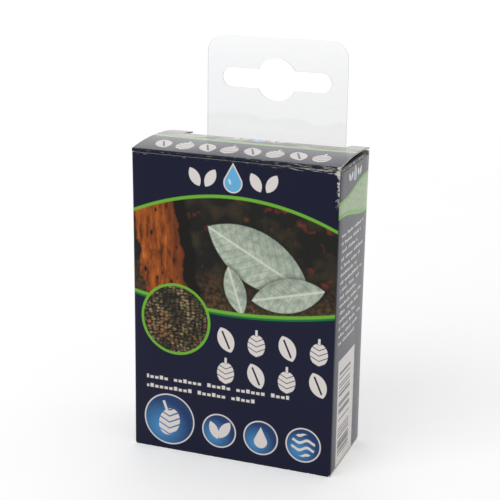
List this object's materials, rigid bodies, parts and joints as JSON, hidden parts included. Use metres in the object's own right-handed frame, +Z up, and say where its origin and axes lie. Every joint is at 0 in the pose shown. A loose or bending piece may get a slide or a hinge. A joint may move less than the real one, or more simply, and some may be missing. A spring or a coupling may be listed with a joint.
{
  "type": "hang-tab carton",
  "caption": "Small printed folding carton with a hinged tuck lid, two dust flaps and a clear euro-slot hang tab on its back, part filled with loose alder cones.",
  "frame": {"origin": "middle of the carton's flat bottom face", "axes": "+Z up through the lid and the hang tab, -Y out of the printed front, +X to the right seen from the front"},
  "size_m": [0.059, 0.0279, 0.115],
  "materials": {
    "printed_board": "satin",
    "bare_board": "matte",
    "clear_film": "gloss",
    "adhesive": "satin",
    "cone_wood": "matte"
  },
  "bodies": {
    "carton": {"carton_body": "printed_board", "hang_tab": "clear_film", "tab_adhesive": "adhesive", "alder_cone_01": "cone_wood", "alder_cone_02": "cone_wood", "alder_cone_03": "cone_wood", "alder_cone_04": "cone_wood", "alder_cone_05": "cone_wood", "alder_cone_06": "cone_wood", "alder_cone_07": "cone_wood", "alder_cone_08": "cone_wood", "alder_cone_09": "cone_wood", "alder_cone_10": "cone_wood", "alder_cone_11": "cone_wood", "alder_cone_12": "cone_wood", "alder_cone_13": "cone_wood", "alder_cone_14": "cone_wood", "alder_cone_15": "cone_wood", "alder_cone_16": "cone_wood", "alder_cone_17": "cone_wood", "alder_cone_18": "cone_wood", "alder_cone_19": "cone_wood", "alder_cone_20": "cone_wood", "alder_cone_21": "cone_wood", "alder_cone_22": "cone_wood", "alder_cone_23": "cone_wood", "alder_cone_24": "cone_wood", "alder_cone_25": "cone_wood", "alder_cone_26": "cone_wood", "alder_cone_27": "cone_wood", "alder_cone_28": "cone_wood", "alder_cone_29": "cone_wood", "alder_cone_30": "cone_wood", "alder_cone_31": "cone_wood", "alder_cone_32": "cone_wood", "alder_cone_33": "cone_wood", "alder_cone_34": "cone_wood", "alder_cone_35": "cone_wood", "alder_cone_36": "cone_wood", "alder_cone_37": "cone_wood", "alder_cone_38": "cone_wood", "alder_cone_39": "cone_wood", "alder_cone_40": "cone_wood", "alder_cone_41": "cone_wood", "alder_cone_42": "cone_wood", "alder_cone_43": "cone_wood", "alder_cone_44": "cone_wood", "alder_cone_45": "cone_wood", "alder_cone_46": "cone_wood", "alder_cone_47": "cone_wood", "alder_cone_48": "cone_wood", "alder_cone_49": "cone_wood", "alder_cone_50": "cone_wood"},
    "lid": {"lid": "printed_board"},
    "dust_flap_left": {"dust_flap_left": "bare_board"},
    "dust_flap_right": {"dust_flap_right": "bare_board"}
  },
  "joints": [
    {"name": "lid_hinge", "type": "hinge", "parent": "carton", "child": "lid", "pos_m": [0, -0.01315, 0.0863], "axis": [1, 0, 0], "range_deg": [0, 170]},
    {"name": "dust_flap_left_hinge", "type": "hinge", "parent": "carton", "child": "dust_flap_left", "pos_m": [-0.029, 0, 0.0855], "axis": [0, -1, 0], "range_deg": [0, 52]},
    {"name": "dust_flap_right_hinge", "type": "hinge", "parent": "carton", "child": "dust_flap_right", "pos_m": [0.029, 0, 0.0855], "axis": [0, 1, 0], "range_deg": [0, 52]}
  ],
  "couplings": [
    {"joint": "dust_flap_left_hinge", "follows": "lid_hinge", "ratio": 0.3},
    {"joint": "dust_flap_right_hinge", "follows": "lid_hinge", "ratio": 0.3}
  ]
}
